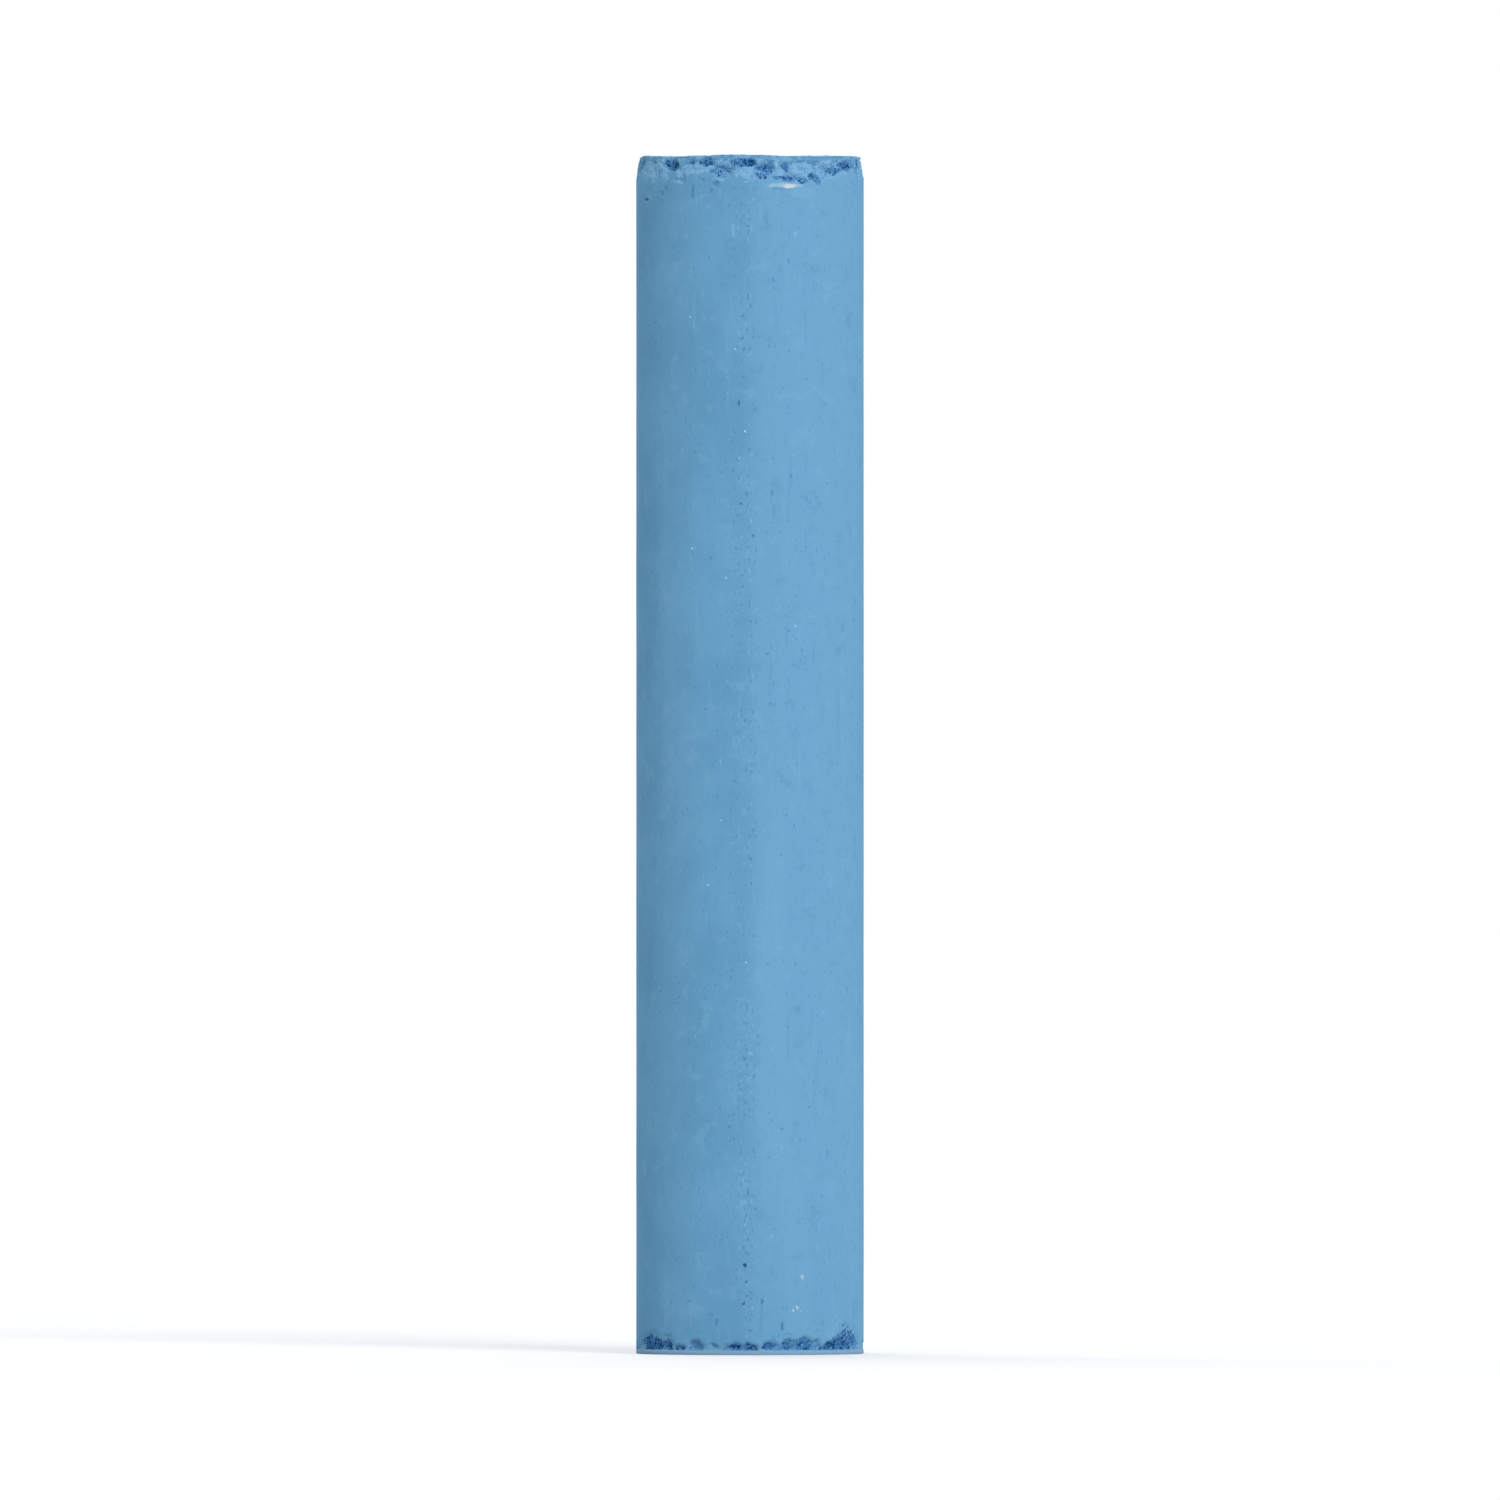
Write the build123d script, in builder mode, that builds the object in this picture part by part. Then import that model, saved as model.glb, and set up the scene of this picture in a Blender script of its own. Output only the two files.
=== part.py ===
from build123d import *
import math
import os
from collections import namedtuple

# A thick round stick of pressed chalk, one solid piece, in millimetres.
# It stands on its lipped end: the origin is the centre of that end face, +Z runs up the
# stick, and bearing 0 is the front, at -Y, with bearings in degrees growing towards +X.

stick_length = 105.0
stick_diameter = 20.0
barrel_radius = stick_diameter / 2

# The lipped end: a thin band that stayed whole under a row of chips.
lip_height = 0.4
lip_bevel = 0.08

# The crumbled end: an uneven surface closes it, and its rim is chipped nearly all round.
# Its swells stand highest along the front rim, which reaches the stick's full length.
rim_fall = 0.05
swell_depth = 0.22
swell_pitch = 2.6
swell_turn_x = 0.6
swell_turn_y = 3.5
surface_margin = 2.0
surface_steps = 12

# A chip is a round scoop in the barrel, told by the bearing and height of its middle,
# half its width, and its depth. Where chips overlap they make one larger, uneven break.
Chip = namedtuple("Chip", "bearing height half_width depth")

crumbled_front = [
    Chip(-45, 104.2, 1.00, 0.35),
    Chip(-32, 104.8, 0.55, 0.22),
    Chip(-22, 104.6, 1.10, 0.40),
    Chip(-14, 103.6, 1.25, 0.45),
    Chip(-2, 105.0, 1.05, 0.45),
    Chip(8, 103.8, 1.15, 0.45),
    Chip(18, 104.0, 1.30, 0.45),
    Chip(24, 102.9, 0.75, 0.32),
    Chip(29, 103.7, 1.30, 0.42),
    Chip(39, 103.6, 1.15, 0.40),
    Chip(51, 104.4, 1.10, 0.38),
    Chip(64, 104.4, 1.10, 0.38),
    Chip(-43, 104.4, 0.50, 0.42),
    Chip(-23, 104.7, 0.50, 0.50),
    Chip(-12, 103.2, 0.60, 0.55),
    Chip(-1, 104.7, 0.60, 0.55),
    Chip(11, 103.5, 0.55, 0.55),
    Chip(19, 102.9, 0.45, 0.42),
    Chip(36, 102.9, 0.45, 0.45),
    Chip(58, 104.4, 0.55, 0.50),
]
lipped_front = [
    Chip(-66, 0.6, 1.00, 0.35),
    Chip(-56, 0.6, 0.95, 0.30),
    Chip(-47, 0.5, 0.90, 0.28),
    Chip(-38, 0.3, 0.55, 0.20),
    Chip(-29, 0.5, 0.95, 0.30),
    Chip(-11, 0.4, 0.70, 0.25),
    Chip(-4, 0.4, 0.70, 0.25),
    Chip(2, 0.3, 0.65, 0.22),
    Chip(10, 0.4, 0.70, 0.25),
    Chip(15, 0.4, 0.65, 0.24),
    Chip(21, 0.6, 0.95, 0.35),
    Chip(28, 0.6, 1.05, 0.40),
    Chip(35, 0.5, 0.90, 0.32),
    Chip(46, 0.5, 0.95, 0.35),
    Chip(56, 0.6, 1.15, 0.45),
    Chip(67, 0.6, 1.05, 0.40),
]

# Round the back the chips go on in the same sizes, at uneven steps.
back_start = 79
back_step = 18
back_count = 12
back_wander = 6
back_lift = 0.3
back_half_width = 1.05
back_depth = 0.38
back_variety = 0.25
crumbled_back_height = 104.3
lipped_back_height = 0.5


def back_chips(middle_height, phase):
    """Chips that carry the front row on round the back of one end."""
    chips = []
    for place in range(back_count):
        wander = math.sin(2.4 * place + phase)
        lift = math.cos(1.7 * place + phase)
        size = 1 + back_variety * math.cos(2.9 * place + phase)
        bearing = back_start + back_step * place + back_wander * wander
        height = middle_height + back_lift * lift
        chips.append(Chip(bearing, height, back_half_width * size, back_depth * size))
    return chips


def ball_radius(chip):
    """Radius of the ball that leaves a chip where it overlaps the barrel."""
    return (chip.half_width**2 + chip.depth**2) / (2 * chip.depth)


def ball_centre(chip):
    """Centre of that ball, which lies outside the barrel."""
    outward = Vector(0, -1, 0).rotate(Axis.Z, chip.bearing)
    reach = barrel_radius + ball_radius(chip) - chip.depth
    return outward * reach + Vector(0, 0, chip.height)


def end_height(x, y):
    """Height of the crumbled end face over one point of the section."""
    rim = (x * x + y * y) / barrel_radius**2
    swell = math.cos(x / swell_pitch + swell_turn_x) * math.cos(y / swell_pitch + swell_turn_y)
    return stick_length - rim_fall * rim**2 - swell_depth * (1 - swell) / 2


def crumbled_face():
    """The uneven surface that closes the crumbled end."""
    reach = barrel_radius + surface_margin
    places = [reach * (2 * step / surface_steps - 1) for step in range(surface_steps + 1)]
    grid = [[Vector(x, y, end_height(x, y)) for y in places] for x in places]
    return Face.make_surface_from_array_of_points(grid)


def scoop_out(chips):
    """Take the chips out of the part being built."""
    for chip in chips:
        with Locations(ball_centre(chip)):
            Sphere(ball_radius(chip), mode=Mode.SUBTRACT)


with BuildPart() as chalk_stick:
    with BuildSketch():
        Circle(barrel_radius)
    extrude(amount=stick_length + surface_margin)
    split(bisect_by=crumbled_face(), keep=Keep.BOTTOM)
    scoop_out(crumbled_front + back_chips(crumbled_back_height, 0.0))
    scoop_out(lipped_front + back_chips(lipped_back_height, 1.9))
    with BuildSketch(Plane.XZ):
        with BuildLine():
            Polyline(
                (0, 0),
                (barrel_radius - lip_bevel, 0),
                (barrel_radius, lip_bevel),
                (barrel_radius, lip_height),
                (0, lip_height),
                close=True,
            )
        make_face()
    revolve(axis=Axis.Z)

chalk_stick.part.label = "chalk_stick"

os.makedirs("parts", exist_ok=True)
export_step(chalk_stick.part, "parts/chalk_stick.step")
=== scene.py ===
import bpy
import math
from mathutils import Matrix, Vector, noise
from mathutils.bvhtree import BVHTree


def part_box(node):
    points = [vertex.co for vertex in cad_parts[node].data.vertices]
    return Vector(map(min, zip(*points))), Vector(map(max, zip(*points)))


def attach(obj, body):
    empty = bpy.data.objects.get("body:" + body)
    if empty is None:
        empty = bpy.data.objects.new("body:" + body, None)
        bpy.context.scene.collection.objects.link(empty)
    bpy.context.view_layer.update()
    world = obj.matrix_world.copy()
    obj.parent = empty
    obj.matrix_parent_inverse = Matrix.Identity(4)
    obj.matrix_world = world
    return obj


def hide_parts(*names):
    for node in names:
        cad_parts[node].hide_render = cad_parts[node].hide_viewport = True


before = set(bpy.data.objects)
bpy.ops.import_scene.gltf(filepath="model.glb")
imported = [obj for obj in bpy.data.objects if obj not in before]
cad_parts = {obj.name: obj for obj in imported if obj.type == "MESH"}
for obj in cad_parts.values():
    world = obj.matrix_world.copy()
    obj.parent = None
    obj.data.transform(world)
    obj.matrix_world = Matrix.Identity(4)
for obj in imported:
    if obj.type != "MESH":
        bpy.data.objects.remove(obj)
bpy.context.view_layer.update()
mm = 0.001
print("frame loaded")

# the stick's own measures, read from the frame
lowest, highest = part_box("chalk_stick")
radius = (highest.x - lowest.x) / 2 / mm  # everything below is worked out in millimetres
length = (highest.z - lowest.z) / mm

# how the photograph was framed
photo = dict(
    widthPx=1500,
    topPx=154.5,  # upper edge of the stick
    bottomPx=1353.5,  # lower edge of the stick
    middlePx=750,  # the stick's axis, across
    lensMm=1000,  # a long lens: both ends show nearly straight
    sensorMm=36,
    farM=50,  # how far the camera sees
)
pxPerMm = (photo["bottomPx"] - photo["topPx"]) / length


def fromPhoto(px, py):  # a pixel of the photograph as millimetres across and up the stick
    return (px - photo["middlePx"]) / pxPerMm, (photo["bottomPx"] - py) / pxPerMm


def linear(hexColour):  # sRGB hex to the linear colour that sockets want
    parts = [int(hexColour[i : i + 2], 16) / 255 for i in (1, 3, 5)]
    flat = [p / 12.92 if p <= 0.04045 else ((p + 0.055) / 1.055) ** 2.4 for p in parts]
    return flat + [1.0]


def smooth(start, full, value):  # 0 up to start, 1 from full on, eased between
    t = min(max((value - start) / (full - start), 0.0), 1.0)
    return t * t * (3 - 2 * t)


def addNode(tree, kind, settings=None, inputs=None):  # one node with its settings and links
    node = tree.nodes.new(kind)
    for name, value in (settings or {}).items():
        setattr(node, name, value)
    for name, value in (inputs or {}).items():
        if isinstance(value, bpy.types.NodeSocket):
            tree.links.new(value, node.inputs[name])
        else:
            node.inputs[name].default_value = value
    return node.outputs


def newMaterial(name):
    material = bpy.data.materials.new(name)
    material.use_nodes = True
    material.node_tree.nodes.clear()
    return material


# camera, level with the middle of the stick as in the photograph
def makeCamera():
    distance = photo["lensMm"] / photo["sensorMm"] * photo["widthPx"] / pxPerMm
    centrePx = photo["widthPx"] / 2
    height = (photo["bottomPx"] - centrePx) / pxPerMm
    data = bpy.data.cameras.new("camera")
    data.lens = photo["lensMm"]
    data.sensor_width = photo["sensorMm"]
    data.clip_end = photo["farM"]
    camera = bpy.data.objects.new("camera", data)
    camera.location = (0, -distance * mm, height * mm)
    camera.rotation_euler = (math.radians(90), 0, 0)  # level, facing +Y
    bpy.context.scene.collection.objects.link(camera)
    bpy.context.scene.camera = camera


makeCamera()
print("camera placed")


# the stick's mesh: rings from the middle of the flat end up to the middle of the crumbled end, whose
# points are found by rays cast onto the solid from just outside it; unless a note says otherwise, a
# pair tells where something begins and where it is full
stick = dict(
    barrelColumns=256,
    rimColumns=512,
    fewestColumns=8,
    flatRings=((0.12, 16), (0.24, 32), (0.48, 64), (0.75, 128), (0.93, 256), (1, 512)),  # share, columns
    barrelStep=1.2,  # mm between rings along the plain barrel
    rimStep=0.09,  # mm between rings where the rims are broken
    facePitch=0.16,  # mm between rings on the crumbled face
    narrowest=0.6,  # of that pitch: where columns would stand closer, their number is halved
    lowZone=3.0,  # mm of fine rings at the flat end
    topZone=4.0,  # mm of fine rings at the crumbled end
    zoneEdge=(0.1, 0.9),  # mm into a fine zone over which the wear sets in
    standOff=1.0,  # mm outside the stick, where the rays start
    facets=0.022,  # mm that the solid's own facets may dip below its true surface
    inset=0.03,  # mm that the visible skin keeps inside the solid
    bevel=0.08,  # mm, edge of the flat end
    lip=0.4,  # mm, the whole band under the lower chips
    clearOfLip=0.02,  # mm that rays just above the lip keep from it
    wave=0.012,  # mm, slow waves in the barrel
    # the corner and face of the crumbled end
    fan=1.5,  # mm, reach of the rings that turn the corner
    rounding=4.4,  # how sharp that corner is: 2 is a quarter circle, more is squarer
    roundingStrays=1.2,  # how much that varies from place to place
    steepest=0.1,  # how far inward a ray must point to be held inside the round stick
    turnedFull=0.7,  # how far down a ray points where the corner counts as the end
    endFall=0.5,  # mm below the full length down to which a level place is end face
    endBlend=0.15,  # mm over which that sets in
    faceLevel=(0.78, 0.92),  # upward share of the solid's normal, from broken rim to face
    faceTurned=(0.0, 0.5),  # how far down a ray points, from broken rim to face
    faceRough=0.9,  # grains of the face beside those of a break
    # broken chalk
    freshDepth=(0.02, 0.08),  # mm below the round stick, from skin to broken
    wander=0.22,  # mm that a chip's outline strays from the solid's round scoops
    fineShare=0.8,  # of the finer of two patterns, beside 1 of the broader
    grain=0.13,  # mm, roughness of broken chalk
    grainSizes=((0.5, 1.0, 0.55), (0.26, 4.0, 0.45)),  # mm, seed and share
    grainEnds=0.75,  # of its size, from a grain's middle
    grainSwell=0.08,  # mm, slow swells under the grains
    sunkFull=0.42,  # mm of sinking at which broken chalk is drawn darkest: its own darker colour together with painted shade in the hollows
    lowSunk=0.85,  # how dark the lower chips are drawn at least, own colour and painted shade together
    # dark pockets, and the mounds between them
    spotEdge=(0.55, 1.25),  # of a spot's half width, from full to none
    spotReach=1.6,  # of its half height, past which a spot isn't looked at
    spotFray=(0.35, 0.25),  # of its half width that its edge strays, fine and broad
    pocketDepth=0.22,  # mm that a dark pocket lies below the break round it
    pocketOverEnd=0.5,  # how much of that is lost over the end
    lowFade=0.4,  # how far the lower chips fade towards their upper edges
    lowFadeOver=(0.7, 1.5),  # mm above the flat end
    rearFrom=(-3.0, -1.0),  # mm behind the axis, where made-up pockets set in
    rearDepth=(0.08, 0.3),  # mm below the round stick, from none to such a pocket
    rearPatches=(-0.25, 0.2),  # of their pattern
    moundFills=0.6,  # how far a mound fills its chip
    moundKeeps=0.5,  # how far it is spared small losses, lumps and grains
    moundEven=0.4,
    moundSmooth=0.3,
    # the crumbled rim
    nibbleDepth=0.12,  # mm, small losses between the chips
    nibbleEdge=(0.0, 0.3),  # of their pattern
    nibbleFine=0.5,  # of the finer of two patterns, beside 1 of the broader
    nibbleShare=0.45,  # more leaves fewer places whole
    nibbleThins=0.35,  # how much less that is for each mm below the end
    beltEnds=(1.0, 2.6),  # mm below the end, from all crumbly to none
    beltWander=0.8,  # mm that its lower limit strays
    lumps=0.26,  # mm, how deep its lumps are
    rubble=1.1,  # mm, size of the pieces that it breaks into
    rubbleBend=0.25,  # mm that the creases between them bend
    creaseDepth=0.12,  # mm, which through the sinking also paints shade into the creases
    creaseEdge=(0.03, 0.3),  # of a piece's size, from crease to none
    loosePatches=(-0.35, 0.15),  # of the pattern of its loose patches
    freshShares=(0.8, 0.9, 0.9),  # how broken nibbles, loose patches and mounds look
    seedSteps=(1, 1.7, 2.3),  # how far a seed moves smooth noise along x, y and z
    # smooth noise that shapes all this, as (size of its lumps in mm, seed)
    uneven=dict(
        swayFine=(0.5, 3.1),
        sway=(1.4, 7.7),
        riseFine=(0.5, 11.3),
        rise=(1.4, 5.9),
        corner=(1.1, 9.4),
        frayFine=(0.45, 2.9),
        fray=(1.1, 4.4),
        rear=(0.8, 8.8),
        patch=(1.0, 6.1),
        patchFine=(0.4, 1.3),
        belt=(1.3, 14.6),
        bendAcross=(0.6, 21.0),
        bendUp=(0.6, 23.0),
        loose=(0.6, 15.2),
        lumps=(0.75, 12.1),
        barrel=(9, 2.2),
        grains=(1.1, 6.6),
    ),
)

# the photographed side's dark pockets, as (px, py, half width px, half height px, strength)
pocketsSeen = (
    (668, 163, 8, 8, 0.9),
    (688, 161, 5, 3.5, 1.0),
    (704, 161, 10, 7, 1.0),
    (716, 172, 11, 9, 0.55),
    (716, 185, 3, 3, 0.7),
    (745, 161, 14, 7, 1.0),
    (765, 172, 13, 10, 0.7),
    (788, 167, 4, 6, 0.8),
    (786, 180, 18, 3.5, 0.75),
    (803, 182, 6, 4, 0.85),
    (819, 180, 8, 6, 0.8),
    (838, 171, 9, 6, 0.7),
    (812, 160, 12, 3, 0.4),
    (850, 164, 8, 6, 0.9),
    # the chips at the two lower corners, with strengths over 1, are partly their own dark colour and
    # partly painted shade from the holder beside the stick
    (648, 1341, 12, 9, 1.3),
    (664, 1342, 9, 8, 0.8),
    (679, 1347, 7, 3, 0.7),
    (695, 1343, 9, 5, 0.5),
    (713, 1345, 5, 3, 0.7),
    (735, 1345, 8, 5, 1.0),
    (750, 1345, 9, 5, 1.0),
    (770, 1344, 8, 5, 0.9),
    (789, 1341, 9, 8, 0.7),
    (807, 1343, 10, 7, 0.8),
    (828, 1347, 8, 4, 0.75),
    (839, 1343, 10, 9, 1.2),
    (850, 1338, 10, 13, 1.4),
)
# and the paler mounds that stand between them
moundsSeen = (
    (650, 169, 14, 10, 0.9),
    (691, 170, 12, 6, 0.9),
    (721, 161, 9, 5, 0.6),
    (743, 172, 11, 7, 0.9),
    (763, 161, 6, 4, 0.7),
    (802, 169, 16, 8, 1.0),
    (830, 160, 9, 5, 0.6),
)


def toBarrel(seen):  # a place seen in the photograph as (bearing, height, half widths in mm, strength)
    across, up = fromPhoto(seen[0], seen[1])
    bearing = math.asin(across / radius)
    return bearing, up, seen[2] / pxPerMm / math.cos(bearing), seen[3] / pxPerMm, seen[4]


pockets = [toBarrel(seen) for seen in pocketsSeen]
mounds = [toBarrel(seen) for seen in moundsSeen]

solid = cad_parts["chalk_stick"]
solidTree = BVHTree.FromPolygons(
    [v.co / mm for v in solid.data.vertices],
    [tuple(p.vertices) for p in solid.data.polygons],
)
# what the material is told about a point of the skin, as it is all over the flat end
flatEnd = dict(fresh=0.0, face=1.0, pocket=0.0, mound=0.0, sunkTintAndShade=0.0)


def makeGuide():  # rings as (columns, kind, (reach, height), direction) in a plane through the axis
    rings = []
    off = stick["standOff"]
    edge = radius - stick["inset"] - stick["bevel"]
    for share, columns in stick["flatRings"]:
        rings.append((columns, "flat", (edge * share, 0.0), None))
    topStart = length - stick["topZone"]
    cornerHeight = length - stick["fan"]
    zones = (
        (stick["bevel"], stick["lowZone"], stick["rimStep"], stick["rimColumns"]),
        (stick["lowZone"], topStart, stick["barrelStep"], stick["barrelColumns"]),
        (topStart, cornerHeight, stick["rimStep"], stick["rimColumns"]),
    )
    for start, end, step, columns in zones:
        steps = round((end - start) / step)
        for index in range(steps):
            place = start + (end - start) * index / steps
            rings.append((columns, "side", (radius + off, place), (-1, 0)))
    turns = round(2 * stick["fan"] / stick["rimStep"])  # a little closer round the corner
    for turn in range(turns + 1):
        angle = math.radians(90) * turn / turns
        across, up = math.cos(angle), math.sin(angle)
        reach = stick["fan"] + off
        start = (radius - stick["fan"] + across * reach, cornerHeight + up * reach)
        rings.append((stick["rimColumns"], "corner", start, (-across, -up)))
    pitch = stick["facePitch"]
    reach = radius - stick["fan"] - pitch
    columns = stick["barrelColumns"]
    while reach > pitch:
        around, least = 2 * math.pi * reach, pitch * stick["narrowest"]
        while columns > stick["fewestColumns"] and around / columns < least:
            columns //= 2
        rings.append((columns, "face", (reach, length + off), (0, -1)))
        reach -= pitch
    return rings


def lump(point, name):  # smooth noise from -1 to 1
    size, seed = stick["uneven"][name]
    return noise.noise(point / size + Vector([seed * step for step in stick["seedSteps"]]))


def dip(point, name):  # the same noise as a share from 0 to 1
    return 0.5 - 0.5 * lump(point, name)


def crumbs(point, size, seed):  # rounded grains of that size in mm, 0 in the gaps and 1 on top
    distances, _ = noise.voronoi(point / size + Vector((seed, 0, -seed)))
    return 1 - min(distances[0] / stick["grainEnds"], 1.0)


def within(spots, bearing, height, blur):  # 0 outside these spots, rising to a spot's strength inside it
    most = 0.0
    for middle, up, halfAcross, halfUp, strength in spots:
        rise = (height - up) / halfUp
        if abs(rise) > stick["spotReach"]:
            continue
        swing = (bearing - middle + math.pi) % (2 * math.pi) - math.pi
        reach = math.hypot(swing * radius / halfAcross, rise) + blur
        most = max(most, strength * (1 - smooth(*stick["spotEdge"], reach)))
    return most


def closeToRim(height):  # 0 on the plain barrel, 1 near either end
    begin, full = stick["zoneEdge"]
    topStart = length - stick["topZone"]
    low = 1 - smooth(stick["lowZone"] - full, stick["lowZone"] - begin, height)
    return low + smooth(topStart + begin, topStart + full, height)


def castFrom(start, out, skin, turned, nearRim):  # a ray's start, moved so that outlines get ragged
    fine, wander = stick["fineShare"], stick["wander"]
    sideways = Vector((-out.y, out.x, 0))
    sway = (lump(skin, "swayFine") * fine + lump(skin, "sway")) * wander * nearRim
    rise = (lump(skin, "riseFine") * fine + lump(skin, "rise")) * wander * nearRim
    probe = start + sideways * sway
    if start.z > stick["lip"]:
        probe.z = max(start.z + rise * (1 - turned), stick["lip"] + stick["clearOfLip"])
    return probe


def travelTo(distance, kind, skin, place, direction):  # how far the skin lies along the ray
    travel = distance - stick["facets"] + stick["inset"]
    if direction[0] < -stick["steepest"]:
        travel = max(travel, (place[0] - radius + stick["inset"]) / -direction[0])
    if kind == "corner":
        sharp = stick["rounding"] + stick["roundingStrays"] * lump(skin, "corner")
        rounded = (abs(direction[0]) ** sharp + abs(direction[1]) ** sharp) ** (-1 / sharp)
        travel = max(travel, stick["fan"] * (1 - rounded) + stick["standOff"] + stick["inset"])
    return travel


def spotsAt(bearing, height, skin, depth):  # how deep in a pocket and on a mound this place is
    fine, broad = stick["spotFray"]
    blur = fine * lump(skin, "frayFine") + broad * lump(skin, "fray")
    pocket = within(pockets, bearing, height, blur)
    mound = within(mounds, bearing, height, blur)
    patches = smooth(*stick["rearDepth"], depth) * smooth(*stick["rearPatches"], lump(skin, "rear"))
    pocket = max(pocket, patches * smooth(*stick["rearFrom"], skin.y))
    if height < stick["lowZone"]:
        pocket = min(pocket * (1 - stick["lowFade"] * smooth(*stick["lowFadeOver"], height)), 1.0)
    return pocket, mound * (1 - pocket)


def crumblingAt(below, skin, onFace, mound):  # small losses, crumbly chalk and its creases, each 0 to 1
    patchy = lump(skin, "patch") + stick["nibbleFine"] * lump(skin, "patchFine")
    lost = patchy + stick["nibbleShare"] - stick["nibbleThins"] * below
    nibble = smooth(*stick["nibbleEdge"], lost) * (1 - onFace) * (1 - stick["moundKeeps"] * mound)
    level = below + stick["beltWander"] * lump(skin, "belt")
    crumbly = (1 - smooth(*stick["beltEnds"], level)) * (1 - onFace)
    bend = Vector((lump(skin, "bendAcross"), 0, lump(skin, "bendUp")))
    pieces, _ = noise.voronoi((skin + bend * stick["rubbleBend"]) / stick["rubble"])
    crease = (1 - smooth(*stick["creaseEdge"], pieces[1] - pieces[0])) * crumbly
    return nibble, crumbly, crease


def bumpsAt(point):  # mm that the skin lies below the tops of its grains
    grains = 0.0
    for size, seed, share in stick["grainSizes"]:
        grains += crumbs(point, size, seed) * share
    return (1 - grains) * stick["grain"] + dip(point, "grains") * stick["grainSwell"]


def surfacePoint(kind, bearing, place, direction):  # where the skin lies, and what it is there
    out = Vector((math.sin(bearing), -math.cos(bearing), 0))
    start = out * place[0] + Vector((0, 0, place[1]))
    if kind == "flat":
        return start, flatEnd
    inward = out * direction[0] + Vector((0, 0, direction[1]))
    skin = start + inward * stick["standOff"]  # the same place on the plain round stick
    down = -direction[1]
    turned = smooth(0.0, stick["turnedFull"], down)  # 0 on the barrel, 1 over the end
    nearRim = closeToRim(start.z)
    probe = castFrom(start, out, skin, turned, nearRim)
    hit, normal, _, distance = solidTree.ray_cast(probe, inward)
    travel = travelTo(distance, kind, skin, place, direction)
    depth = max(0.0, radius - math.hypot(hit.x, hit.y) - stick["facets"])
    endLow = length - stick["endFall"]
    onFace = smooth(*stick["faceLevel"], normal.z) * smooth(endLow, endLow + stick["endBlend"], hit.z)
    onFace *= smooth(*stick["faceTurned"], down)
    fresh = smooth(*stick["freshDepth"], depth) * (1 - onFace)
    pocket = mound = nibble = crumbly = crease = 0.0
    if nearRim > 0 and place[1] > stick["lip"]:
        pocket, mound = spotsAt(bearing, hit.z, skin, depth)
        nibble, crumbly, crease = crumblingAt(length - hit.z, skin, onFace, mound)
    loose = crumbly * smooth(*stick["loosePatches"], lump(skin, "loose"))
    forNibble, forLoose, forMound = stick["freshShares"]
    fresh = max(fresh, pocket, nibble * forNibble, loose * forLoose, mound * forMound)
    if kind == "side":  # mounds fill their chips
        travel -= (travel - (place[0] - radius + stick["inset"])) * mound * stick["moundFills"]
    sink = pocket * stick["pocketDepth"] * (1 - turned * stick["pocketOverEnd"])
    sink += nibble * stick["nibbleDepth"] + crease * stick["creaseDepth"]
    sink += dip(skin, "lumps") * crumbly * stick["lumps"] * (1 - stick["moundEven"] * mound)
    # painted shade: the deeper a place sinks, the darker it is drawn, beside the darker colour of broken
    # chalk
    sunkTintAndShade = min(sink / stick["sunkFull"], 1.0)
    if place[1] < stick["lowZone"]:
        sunkTintAndShade = max(sunkTintAndShade, stick["lowSunk"] * fresh)
    travel += sink + stick["wave"] * (1 + lump(skin, "barrel")) * (1 - turned)
    point = start + inward * travel
    rough = max(fresh * (1 - mound * stick["moundSmooth"]), onFace * stick["faceRough"])
    if rough > 0:
        point += inward * bumpsAt(point) * rough
    return point, dict(fresh=fresh, face=onFace, pocket=pocket, mound=mound, sunkTintAndShade=sunkTintAndShade)


def makeStick():
    rings = makeGuide()
    points = [Vector((0, 0, 0))]
    values = [flatEnd]
    starts = []
    for columns, kind, place, direction in rings:
        starts.append(len(points))
        for column in range(columns):
            bearing = 2 * math.pi * column / columns
            point, value = surfacePoint(kind, bearing, place, direction)
            points.append(point)
            values.append(value)
    faces = []
    first, final = rings[0][0], rings[-1][0]
    for column in range(first):
        faces.append((0, 1 + (column + 1) % first, 1 + column))
    for index in range(len(rings) - 1):
        faces += joinRings(starts[index], rings[index][0], starts[index + 1], rings[index + 1][0])
    last = len(points)
    points.append(sum(points[starts[-1] :], Vector()) / final)
    values.append(values[-1])
    for column in range(final):
        faces.append((last, starts[-1] + column, starts[-1] + (column + 1) % final))
    mesh = bpy.data.meshes.new("chalkStick")
    mesh.from_pydata([p * mm for p in points], [], faces)
    for name in flatEnd:
        layer = mesh.attributes.new(name, "FLOAT", "POINT")
        layer.data.foreach_set("value", [v[name] for v in values])
    mesh.polygons.foreach_set("use_smooth", [True] * len(mesh.polygons))
    mesh.update()
    piece = bpy.data.objects.new("chalkStick", mesh)
    bpy.context.scene.collection.objects.link(piece)
    return piece


def joinRings(lower, below, upper, above):  # faces between two rings, where one may be twice as fine
    faces = []
    count = min(below, above)
    for column in range(count):
        following = (column + 1) % count
        if below == above:
            faces.append((lower + column, lower + following, upper + following, upper + column))
        elif below < above:
            middle = upper + 2 * column + 1
            faces.append((lower + column, middle, upper + 2 * column))
            faces.append((lower + column, lower + following, middle))
            faces.append((lower + following, upper + 2 * following, middle))
        else:
            middle = lower + 2 * column + 1
            faces.append((upper + column, lower + 2 * column, middle))
            faces.append((upper + column, middle, upper + following))
            faces.append((upper + following, middle, lower + 2 * following))
    return faces


chalkStick = makeStick()
print("stick meshed:", len(chalkStick.data.polygons), "faces")


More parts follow.
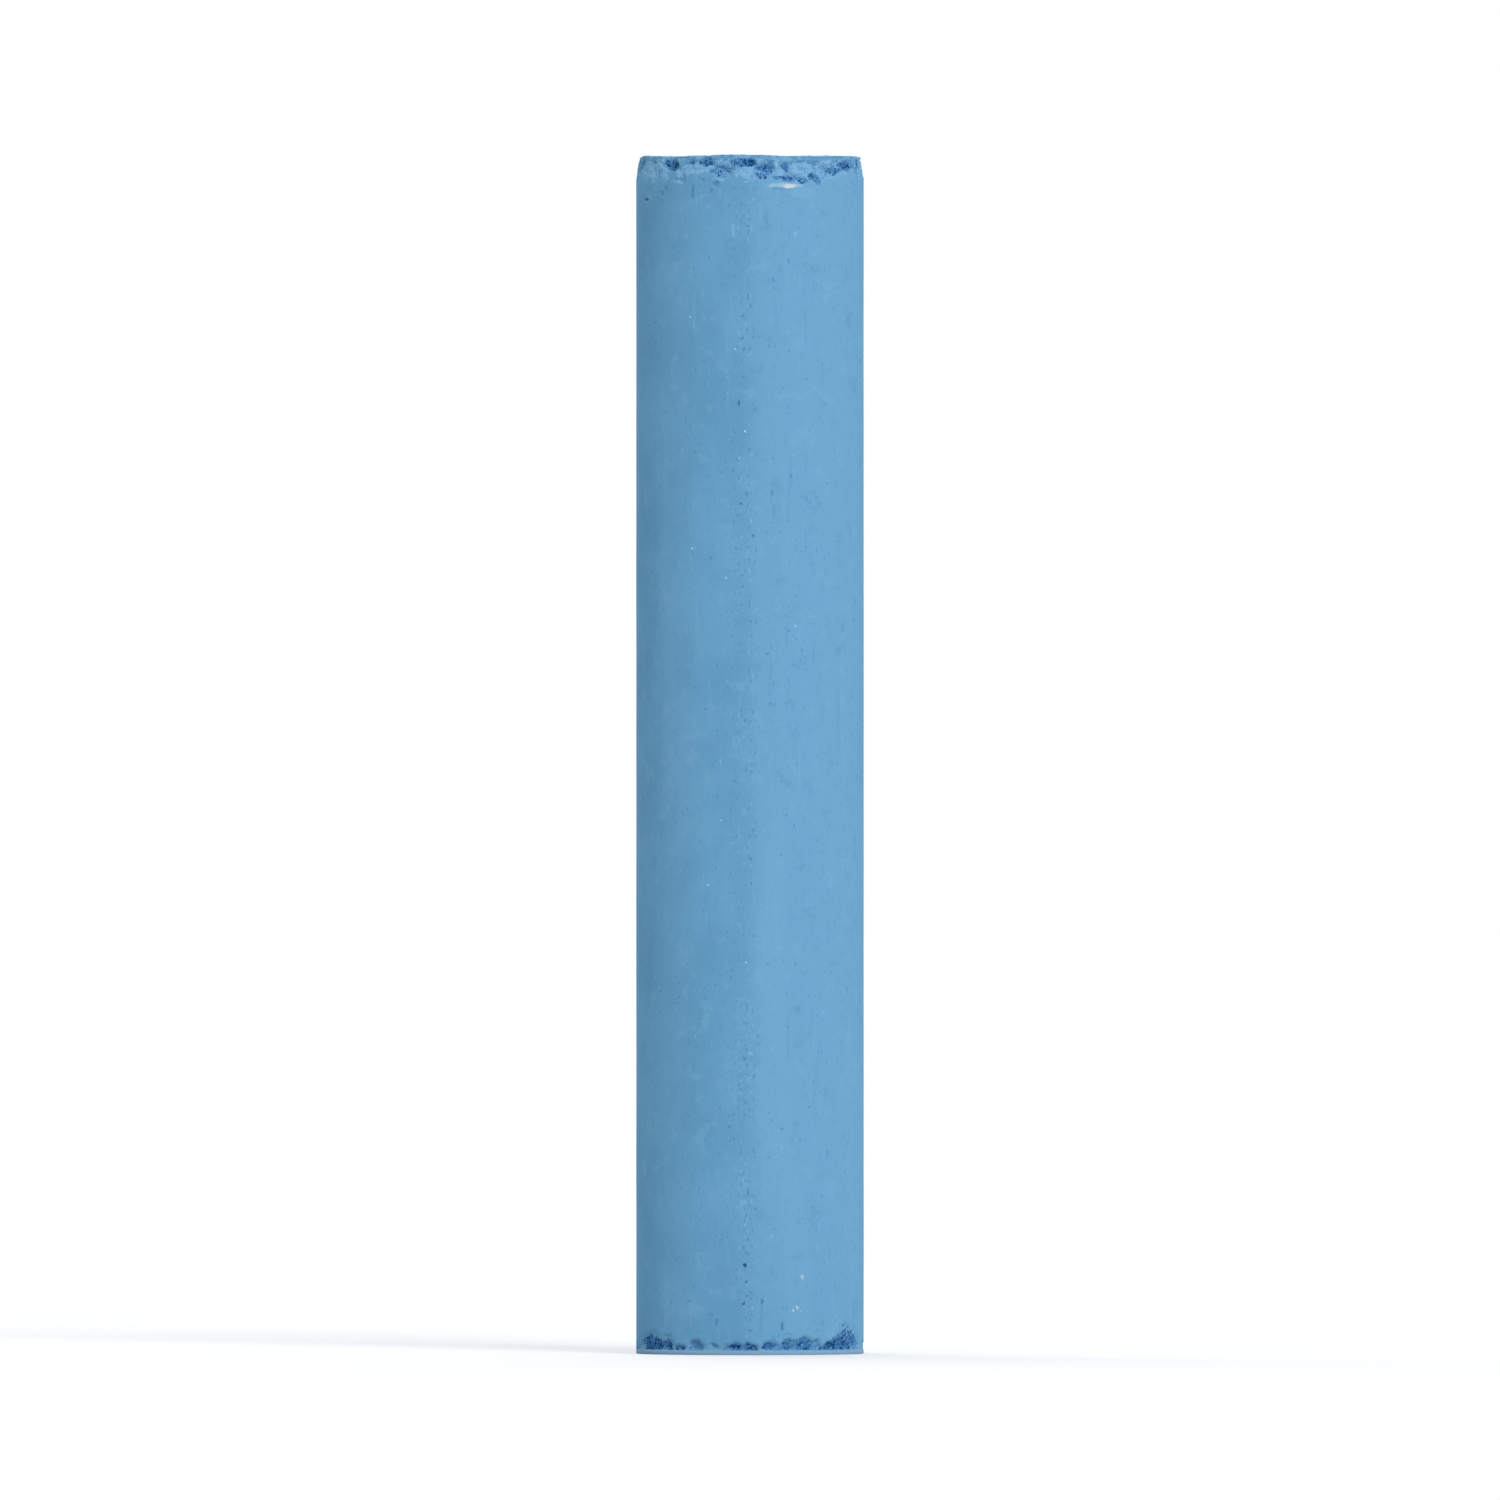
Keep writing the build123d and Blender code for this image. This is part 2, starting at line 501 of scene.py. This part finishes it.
# pressed chalk: extruded and dried powder, so a dead matte skin with no gloss, veiled by its own
# dust; where it broke, the grains and the gaps between them show, and look darker and bluer
chalk = dict(
    skin="#6FA8CC",
    shade="#67A0C4",  # where less dust lies
    paintedLitTone="#71AACE",  # painted light: the right of the crest drawn lighter, as if lit from the right
    bloom="#7DB1D2",  # a film of dust
    lump="#80B4D7",  # broken lumps that caught dust
    broken="#5C94BE",
    hollow="#447DB3",
    gap="#114F88",  # gaps between grains: their darker colour together with painted shade in them
    crumb="#96C5E6",  # loose grains
    lip="#8EB1CB",  # painted highlight: the ledge at the edge of the flat end, drawn lighter where it catches light
    fleck="#C4DCEA",  # specks of white filler
    flake="#CFD9DA",  # pale flake by the crumbled end
    bumpMm=0.04,  # height of the fine relief
    bumpStrength=0.6,
    grainBump=2.5,  # relief of grains beside that of powder
    faceBump=0.7,  # grains of the crumbled face beside those of a break
    frayMm=0.35,  # how far the edge of a mark strays
    markEdge=(1.15, 0.7),  # of its half width, from none to full
    sideMm=0.5,  # before and behind the axis, over which the front's marks and pits fade
    paintedLitMm=(-1.5, 2.0),  # across from the axis, from none to full painted light
    paintedLitThinMm=7.0,  # before and behind the axis, over which the painted light on the right side thins out
    lipHighlightMm=(0.14, 0.02),  # above the lip, from none to the full painted highlight
    crestMm=-0.55,  # where the line of pits runs, across from the axis
    crestMiddleMm=0.2,  # to each side of that line, where the pits are thickest
    crestHalfMm=1.5,  # and where they end
    crestThin=(0.6, 0.42),  # of the blotch pattern, from thick to thin stretches
    crestThinned=0.7,  # how far pits are held back in the thin ones
    brokenEdge=(0.66, 0.96),  # from skin to broken chalk
    # noise patterns as (name, size in mm, stretch up the stick, detail)
    patterns=(
        ("blotch", 7.0, 1, 3.0),
        ("mottle", 1.6, 1, 3.0),
        ("band", 3.5, 12, 2.0),
        ("streak", 0.5, 12, 2.0),
        ("cluster", 0.9, 1, 2.0),
        ("grains", 0.3, 1, 2.0),
        ("powder", 0.17, 1, 2.0),  # drawn coarser than real chalk powder, so that it shows
        ("pits", 0.22, 2.2, 1.0),
    ),
    # patterns pushed up or down by another, as (name, other, push, pattern)
    pushed=(
        ("crestPit", "offCrest", 0.08, "pits"),
        ("crestDust", "offCrest", -0.08, "pits"),
        # painted shade in the hollows, together with the darker colour of broken chalk
        ("sinkingTintAndShade", "cluster", 0.6, "sunkTintAndShade"),
        ("moundEdge", "grains", 0.8, "mound"),
        ("pocketEdge", "grains", 0.8, "pocket"),
        ("freshEdge", "grains", 0.8, "fresh"),
        ("gapsShadeAndTint", "pocket", 0.19, "grains"),
        ("crumbs", "pocket", -0.03, "powder"),
    ),
    # coats of colour, each over the last, as (pattern, where it starts and is full, strength, colour)
    skinCoats=(
        ("blotch", 0.3, 0.7, 1.0, "skin"),
        # painted light: the right side of the front drawn lighter
        ("paintedLitSide", 0.0, 1.0, 1.0, "paintedLitTone"),
        ("mottle", 0.42, 0.3, 0.7, "shade"),
        ("mottle", 0.56, 0.7, 0.45, "bloom"),
        ("band", 0.5, 0.75, 0.3, "bloom"),
        ("streak", 0.36, 0.26, 0.6, "shade"),
        ("streak", 0.6, 0.75, 0.35, "bloom"),
        ("powder", 0.6, 0.75, 0.3, "bloom"),
        ("powder", 0.38, 0.28, 0.25, "broken"),
        ("crestPit", 0.4, 0.32, 0.55, "hollow"),
        ("crestDust", 0.62, 0.7, 0.45, "crumb"),
        # painted highlight along the lip of the flat end
        ("lipHighlight", 0.0, 1.0, 0.8, "lip"),
    ),
    brokenCoats=(
        # painted shade in the hollows, with the darker colour of broken chalk
        ("sinkingTintAndShade", 0.65, 1.1, 1.0, "broken"),
        ("moundEdge", 0.7, 1.0, 0.9, "lump"),
        ("pocketEdge", 0.8, 1.1, 0.75, "hollow"),
        ("grains", 0.57, 0.64, 0.6, "broken"),
        # painted shade in the gaps between grains, with their own darker colour
        ("gapsShadeAndTint", 0.67, 0.74, 1.0, "gap"),
        ("crumbs", 0.56, 0.64, 0.85, "crumb"),
    ),
    faceCoats=(
        ("cluster", 0.4, 0.58, 1.0, "lump"),
        ("blotch", 0.5, 0.66, 0.5, "bloom"),
        ("grains", 0.55, 0.72, 0.6, "hollow"),
        ("powder", 0.58, 0.72, 0.5, "bloom"),
    ),
)

# marks of the photographed side, as (px, py, half width px, half height px, colour, strength)
marksSeen = (
    (785, 187, 19, 2.6, "fleck", 0.4),
    (789, 187.5, 7, 2.2, "flake", 0.9),
    (690, 318, 1.1, 1.1, "fleck", 0.8),
    (735, 350, 1.0, 1.0, "fleck", 0.7),
    (745, 432, 1.0, 1.0, "fleck", 0.9),
    (739, 459, 1.0, 1.0, "fleck", 0.8),
    (693, 549, 1.2, 1.2, "fleck", 0.9),
    (726, 578, 1.0, 1.2, "fleck", 0.9),
    (796, 626, 1.0, 1.0, "fleck", 0.7),
    (721, 820, 1.0, 1.0, "fleck", 0.7),
    (708, 885, 1.0, 1.0, "fleck", 0.7),
    (746, 962, 1.0, 1.0, "fleck", 0.7),
    (793, 1309, 1.4, 1.3, "fleck", 0.7),
    (797, 1306, 1.3, 1.8, "fleck", 0.7),
    (801, 1310, 1.0, 1.0, "fleck", 0.5),
    (833, 1331, 2.0, 4.5, "bloom", 0.8),
    (830, 1338, 2.0, 4.5, "bloom", 0.8),
    (827, 1345, 2.0, 4.5, "bloom", 0.8),
    (802, 1276, 1.4, 3.0, "fleck", 0.5),
    # dark pits and specks drawn in the gap colour: painted shade in them with their own darker colour
    (739, 404, 1.3, 3.5, "gap", 0.5),
    (741, 504, 1.6, 1.8, "gap", 0.5),
    (753, 536, 1.4, 1.6, "gap", 0.5),
    (772, 493, 1.0, 3.6, "hollow", 0.6),
    (745, 1264, 1.8, 2.0, "gap", 0.9),
    (746, 1280, 1.5, 1.7, "gap", 0.6),
    (744, 1302, 1.5, 1.7, "gap", 0.6),
    (762, 1300, 1.2, 4.0, "hollow", 0.8),
    (782, 1325, 1.2, 5.0, "hollow", 0.8),
    (717, 1320, 1.5, 3.5, "hollow", 0.6),
    (647, 200, 1.8, 1.6, "gap", 0.7),
    (693, 194, 1.1, 9.0, "hollow", 0.6),
    (697, 202, 1.0, 4.5, "bloom", 0.7),
    (702, 197, 1.6, 1.8, "bloom", 0.8),
    (709, 208, 1.6, 2.0, "bloom", 0.6),
    (720, 194, 1.6, 6.0, "bloom", 0.6),
    (671, 192, 1.1, 4.0, "broken", 0.5),
    (712, 191, 1.2, 1.4, "hollow", 0.5),
    (733, 232, 1.6, 7.0, "crumb", 0.4),
    (748, 228, 1.9, 1.5, "hollow", 0.6),
    (766, 219, 2.8, 8.0, "shade", 0.7),
    (760, 213, 0.9, 12.0, "bloom", 0.6),
    (803, 194, 14.0, 6.0, "bloom", 0.6),
    (795, 235, 1.8, 2.5, "crumb", 0.4),
    (800, 284, 1.2, 9.0, "bloom", 0.6),
    (778, 190, 6.0, 1.6, "broken", 0.6),
    (716, 185, 2.6, 2.6, "gap", 0.6),
)


def makeChalk():
    material = newMaterial("pressedChalk")
    tree = material.node_tree
    tones = {name: linear(value) for name, value in chalk.items() if isinstance(value, str)}
    times, ease = dict(operation="MULTIPLY"), dict(interpolation_type="SMOOTHSTEP")
    timesPlus, most = dict(operation="MULTIPLY_ADD"), dict(operation="MAXIMUM")
    minus, blend = dict(operation="SUBTRACT"), dict(data_type="RGBA")
    where = addNode(tree, "ShaderNodeTexCoord")["Object"]

    sources = {}  # everything that a coat of colour can follow
    for name, size, stretch, detail in chalk["patterns"]:
        shrink = (1 / (size * mm), 1 / (size * mm), 1 / (size * stretch * mm))
        scaled = addNode(tree, "ShaderNodeVectorMath", times, {0: where, 1: shrink})[0]
        settings = dict(Vector=scaled, Scale=1, Detail=detail, Roughness=0.6)
        noisy = addNode(tree, "ShaderNodeTexNoise", None, settings)
        sources[name] = noisy["Fac"]
        if name == "grains":
            frayed = noisy["Color"]
    for name in flatEnd:
        sources[name] = addNode(tree, "ShaderNodeAttribute", dict(attribute_name=name))["Fac"]

    # places on the stick, in millimetres
    inMm = addNode(tree, "ShaderNodeVectorMath", times, {0: where, 1: (1 / mm, 1 / mm, 1 / mm)})[0]
    across, depth, up = addNode(tree, "ShaderNodeSeparateXYZ", None, {0: inMm})
    side = chalk["sideMm"]
    limits = {"Value": depth, "From Min": side, "From Max": -side}
    facing = addNode(tree, "ShaderNodeMapRange", ease, limits)[0]  # 1 on the photographed side
    limits = {"Value": depth, "From Min": -side, "From Max": side}
    behind = addNode(tree, "ShaderNodeMapRange", ease, limits)[0]
    # painted light: the right side of the front is drawn lighter, as if lit from the right
    begin, full = chalk["paintedLitMm"]
    limits = {"Value": across, "From Min": begin, "From Max": full}
    rightSide = addNode(tree, "ShaderNodeMapRange", ease, limits)[0]
    thins = chalk["paintedLitThinMm"]
    limits = {"Value": depth, "From Min": thins, "From Max": -thins}
    frontward = addNode(tree, "ShaderNodeMapRange", ease, limits)[0]
    inputs = {0: rightSide, 1: frontward}
    sources["paintedLitSide"] = addNode(tree, "ShaderNodeMath", times, inputs)[0]
    # painted highlight along the lip of the flat end
    begin, full = chalk["lipHighlightMm"]
    limits = {"Value": up, "From Min": stick["lip"] + begin, "From Max": stick["lip"] + full}
    sources["lipHighlight"] = addNode(tree, "ShaderNodeMapRange", ease, limits)[0]

    # the line of tiny pits along the crest, thick in some stretches and thin in others
    shifted = addNode(tree, "ShaderNodeMath", minus, {0: across, 1: chalk["crestMm"]})[0]
    aside = addNode(tree, "ShaderNodeMath", dict(operation="ABSOLUTE"), {0: shifted})[0]
    limits = {"Value": aside, "From Min": chalk["crestMiddleMm"], "From Max": chalk["crestHalfMm"]}
    aside = addNode(tree, "ShaderNodeMapRange", ease, limits)[0]
    begin, full = chalk["crestThin"]
    limits = {"Value": sources["blotch"], "From Min": begin, "From Max": full}
    limits["To Max"] = chalk["crestThinned"]
    thin = addNode(tree, "ShaderNodeMapRange", ease, limits)[0]
    away = addNode(tree, "ShaderNodeMath", most, {0: aside, 1: thin})[0]
    sources["offCrest"] = addNode(tree, "ShaderNodeMath", most, {0: away, 1: behind})[0]

    for name, other, push, pattern in chalk["pushed"]:
        inputs = {0: sources[other], 1: push, 2: sources[pattern]}
        sources[name] = addNode(tree, "ShaderNodeMath", timesPlus, inputs)[0]

    coated = dict(skin=tones["shade"], broken=tones["lump"], face=tones["broken"])
    for part in coated:
        for pattern, start, full, strength, tone in chalk[part + "Coats"]:
            limits = {"Value": sources[pattern], "From Min": start, "From Max": full, "To Max": strength}
            amount = addNode(tree, "ShaderNodeMapRange", ease, limits)[0]
            mix = {0: amount, 6: coated[part], 7: tones[tone]}
            coated[part] = addNode(tree, "ShaderNodeMix", blend, mix)[2]

    # single marks on the skin, each an oval with a ragged edge
    flat = addNode(tree, "ShaderNodeCombineXYZ", None, {0: across, 1: up})[0]
    fray = (chalk["frayMm"], chalk["frayMm"], 0)
    ragged = addNode(tree, "ShaderNodeVectorMath", timesPlus, {0: frayed, 1: fray, 2: flat})[0]
    half = chalk["frayMm"] / 2
    begin, full = chalk["markEdge"]
    for px, py, halfWide, halfHigh, tone, strength in marksSeen:
        x, z = fromPhoto(px, py)
        middle = (x + half, z + half, 0)
        gone = addNode(tree, "ShaderNodeVectorMath", minus, {0: ragged, 1: middle})[0]
        shape = (pxPerMm / halfWide, pxPerMm / halfHigh, 0)
        gone = addNode(tree, "ShaderNodeVectorMath", times, {0: gone, 1: shape})[0]
        reach = addNode(tree, "ShaderNodeVectorMath", dict(operation="LENGTH"), {0: gone})[1]
        limits = {"Value": reach, "From Min": begin, "From Max": full, "To Max": strength}
        amount = addNode(tree, "ShaderNodeMapRange", ease, limits)[0]
        amount = addNode(tree, "ShaderNodeMath", times, {0: amount, 1: facing})[0]
        mix = {0: amount, 6: coated["skin"], 7: tones[tone]}
        coated["skin"] = addNode(tree, "ShaderNodeMix", blend, mix)[2]

    begin, full = chalk["brokenEdge"]
    limits = {"Value": sources["freshEdge"], "From Min": begin, "From Max": full}
    amount = addNode(tree, "ShaderNodeMapRange", ease, limits)[0]
    mix = {0: amount, 6: coated["skin"], 7: coated["broken"]}
    body = addNode(tree, "ShaderNodeMix", blend, mix)[2]
    mix = {0: sources["face"], 6: body, 7: coated["face"]}
    body = addNode(tree, "ShaderNodeMix", blend, mix)[2]

    # grains stand out where the chalk broke, and powder lies everywhere
    dull = addNode(tree, "ShaderNodeMath", times, {0: sources["face"], 1: chalk["faceBump"]})[0]
    loose = addNode(tree, "ShaderNodeMath", most, {0: sources["fresh"], 1: dull})[0]
    grainy = addNode(tree, "ShaderNodeMath", times, {0: sources["grains"], 1: loose})[0]
    inputs = {0: grainy, 1: chalk["grainBump"], 2: sources["powder"]}
    height = addNode(tree, "ShaderNodeMath", timesPlus, inputs)[0]
    relief = {"Strength": chalk["bumpStrength"], "Distance": chalk["bumpMm"] * mm, "Height": height}
    bump = addNode(tree, "ShaderNodeBump", None, relief)[0]
    finish = {
        "Base Color": body,
        "Roughness": 1.0,
        "Diffuse Roughness": 0.3,
        "Specular IOR Level": 0.05,
        "Normal": bump,
    }
    shader = addNode(tree, "ShaderNodeBsdfPrincipled", None, finish)[0]
    addNode(tree, "ShaderNodeOutputMaterial", None, dict(Surface=shader))
    return material


chalkStick.data.materials.append(makeChalk())
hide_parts("chalk_stick")
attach(chalkStick, "root")
print("chalk made")


# floor and background: both show white, and the floor keeps the stick's shadow
studio = dict(
    floorSize=16.0,  # m
    floorAlbedo="#D9D9D9",
    floorGlow=0.30,  # with the light that falls on it, this makes the open floor just white
    ambient=0.53,
    fill="#F6F9FF",  # soft daylight round the stick
    # each lamp as (name, W per square metre, softness, bearing to the right of front, height), in degrees
    lamps=(("key", 1.62, 24, 24, 30), ("back", 1.5, 60, 195, 35)),
)


def addSeen(tree):  # 1 for rays that show the background, from the camera or off gloss or through glass
    rays = addNode(tree, "ShaderNodeLightPath")
    camera, gloss, glass = rays["Is Camera Ray"], rays["Is Glossy Ray"], rays["Is Transmission Ray"]
    seen = addNode(tree, "ShaderNodeMath", dict(operation="MAXIMUM"), {0: camera, 1: gloss})[0]
    return addNode(tree, "ShaderNodeMath", dict(operation="MAXIMUM"), {0: seen, 1: glass})[0]


def makeStage():
    half = studio["floorSize"] / 2
    mesh = bpy.data.meshes.new("floor")
    corners = [(-half, -half, 0), (half, -half, 0), (half, half, 0), (-half, half, 0)]
    mesh.from_pydata(corners, [], [(0, 1, 2, 3)])
    floor = bpy.data.objects.new("floor", mesh)
    bpy.context.scene.collection.objects.link(floor)
    material = newMaterial("paleFloor")
    tree = material.node_tree
    glowing = {0: addSeen(tree), 1: studio["floorGlow"]}
    strength = addNode(tree, "ShaderNodeMath", dict(operation="MULTIPLY"), glowing)[0]
    glow = addNode(tree, "ShaderNodeEmission", None, dict(Strength=strength))[0]
    paint = addNode(tree, "ShaderNodeBsdfDiffuse", None, dict(Color=linear(studio["floorAlbedo"])))[0]
    both = addNode(tree, "ShaderNodeAddShader", None, {0: glow, 1: paint})[0]
    addNode(tree, "ShaderNodeOutputMaterial", None, dict(Surface=both))
    mesh.materials.append(material)


def makeLight():
    scene = bpy.context.scene
    scene.view_settings.view_transform = "Standard"
    world = bpy.data.worlds.new("studio")
    world.use_nodes = True
    scene.world = world
    tree = world.node_tree
    tree.nodes.clear()
    white = addNode(tree, "ShaderNodeBackground", None, dict(Color=(1, 1, 1, 1), Strength=1.0))[0]
    soft = dict(Color=linear(studio["fill"]), Strength=studio["ambient"])
    ambient = addNode(tree, "ShaderNodeBackground", None, soft)[0]
    inputs = {0: addSeen(tree), 1: ambient, 2: white}
    mixed = addNode(tree, "ShaderNodeMixShader", None, inputs)[0]
    addNode(tree, "ShaderNodeOutputWorld", None, dict(Surface=mixed))
    for name, strength, softness, bearing, height in studio["lamps"]:
        lamp = bpy.data.lights.new(name, "SUN")
        lamp.energy = strength
        lamp.angle = math.radians(softness)
        sun = bpy.data.objects.new(name, lamp)
        sun.rotation_euler = (math.radians(90 - height), 0, math.radians(bearing))
        scene.collection.objects.link(sun)


makeStage()
makeLight()
print("stage and light set")
